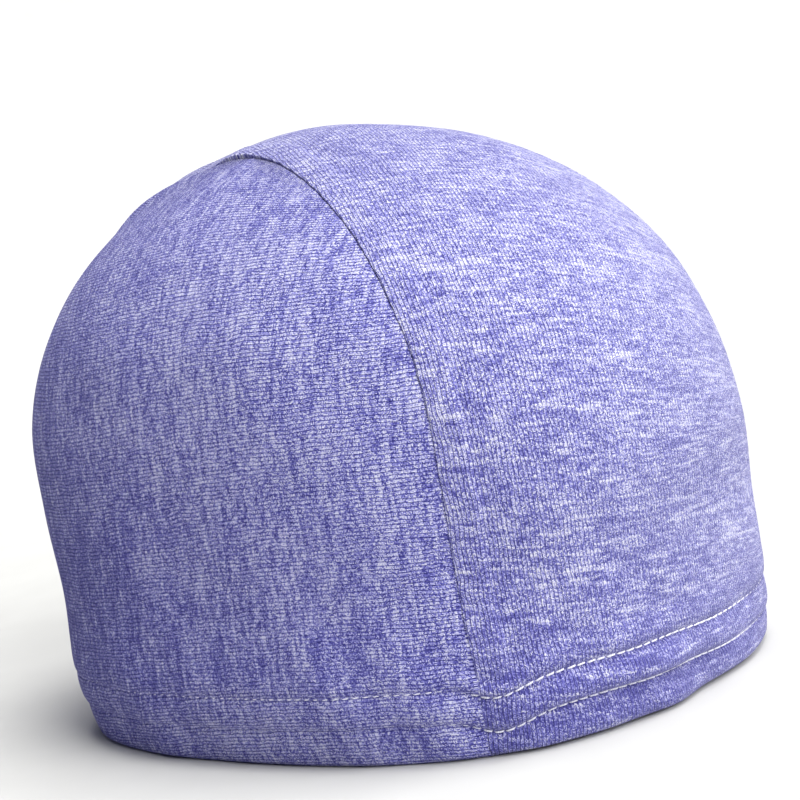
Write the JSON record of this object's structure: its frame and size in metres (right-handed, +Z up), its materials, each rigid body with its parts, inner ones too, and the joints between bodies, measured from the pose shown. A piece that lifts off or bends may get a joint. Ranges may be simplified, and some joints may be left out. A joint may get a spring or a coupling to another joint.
{
  "type": "skull cap",
  "caption": "Close-fitting knitted skull cap sewn from a tapered centre panel and side panels, with a turned-up stitched hem.",
  "frame": {"origin": "middle of the cap's outline on the surface that the rim rests on", "axes": "+Z up through the crown, -Y towards the forehead, +X towards the side panel named right"},
  "size_m": [0.1524, 0.1942, 0.1495],
  "materials": {
    "heather_knit": "matt brushed jersey knit, space-dyed lavender and violet heather",
    "white_thread": "matt spun polyester sewing thread"
  },
  "bodies": {
    "root": {"centre_panel": "heather_knit", "side_panel_left": "heather_knit", "side_panel_right": "heather_knit", "hem_turnup": "heather_knit", "seam_allowance_left": "heather_knit", "seam_allowance_right": "heather_knit"}
  },
  "joints": []
}
